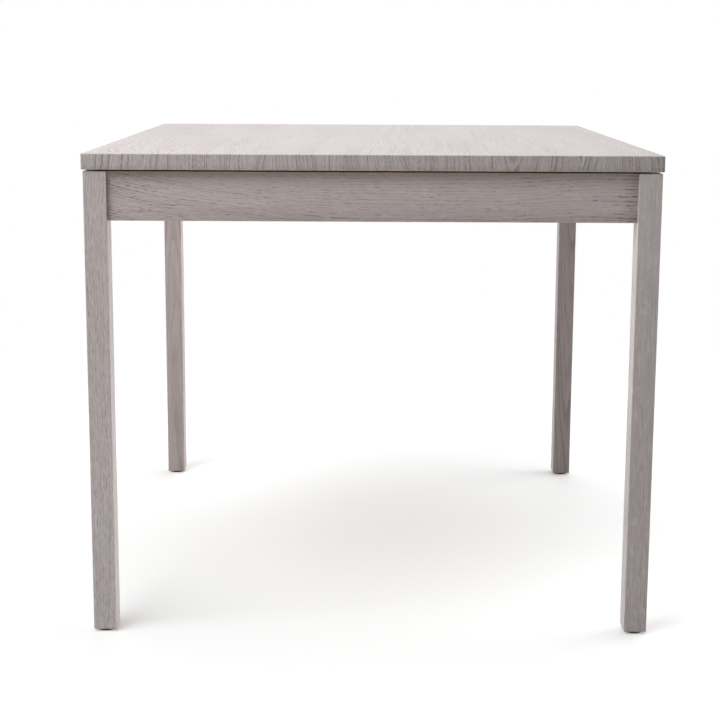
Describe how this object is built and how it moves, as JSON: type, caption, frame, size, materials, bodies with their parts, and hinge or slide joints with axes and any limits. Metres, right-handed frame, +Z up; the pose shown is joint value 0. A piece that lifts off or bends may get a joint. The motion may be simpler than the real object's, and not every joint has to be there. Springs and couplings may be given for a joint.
{
  "type": "parsons dining table",
  "caption": "Square parsons dining table in grey-washed oak: a flat edge-glued top floats on a thin shadow gap over square corner legs and recessed aprons, bolted together at corner blocks.",
  "frame": {"origin": "on the floor, under the middle of the tabletop", "axes": "+Z up; +X to the right and +Y to the rear as seen by someone standing at the front edge, where the top shows its end grain"},
  "size_m": [0.87, 0.87, 0.75],
  "materials": {
    "oak_top": "pale grey-washed oak, matt, grain running front to back and end grain on the front and rear edges",
    "oak_leg": "grey-washed oak, matt, upright grain with open pores",
    "oak_apron": "grey-washed oak, matt, lengthwise grain with open pores",
    "beech": "planed beech, unfinished, for the corner blocks, fixing strips and dowels",
    "zinc_steel": "bright zinc-plated steel fasteners",
    "glide_plastic": "matt dark grey plastic glide"
  },
  "bodies": {
    "root": {"top_stave_1": "oak_top", "top_stave_2": "oak_top", "top_stave_3": "oak_top", "top_stave_4": "oak_top", "top_stave_5": "oak_top", "top_stave_6": "oak_top", "top_stave_7": "oak_top", "leg_front_left": "oak_leg", "leg_front_right": "oak_leg", "leg_rear_right": "oak_leg", "leg_rear_left": "oak_leg", "apron_front": "oak_apron", "apron_right": "oak_apron", "apron_rear": "oak_apron", "apron_left": "oak_apron", "corner_block_front_left": "beech", "corner_block_front_right": "beech", "corner_block_rear_right": "beech", "corner_block_rear_left": "beech", "fixing_strip_front": "beech", "fixing_strip_right": "beech", "fixing_strip_rear": "beech", "fixing_strip_left": "beech", "foot_glide_front_left": "glide_plastic", "foot_glide_front_right": "glide_plastic", "foot_glide_rear_right": "glide_plastic", "foot_glide_rear_left": "glide_plastic", "apron_dowels": "beech", "hanger_bolts": "zinc_steel", "bolt_washers": "zinc_steel", "bolt_nuts": "zinc_steel", "corner_block_screws": "zinc_steel", "fixing_strip_screws": "zinc_steel", "top_screws": "zinc_steel", "top_screw_washers": "zinc_steel", "glide_screws": "zinc_steel"}
  },
  "joints": []
}
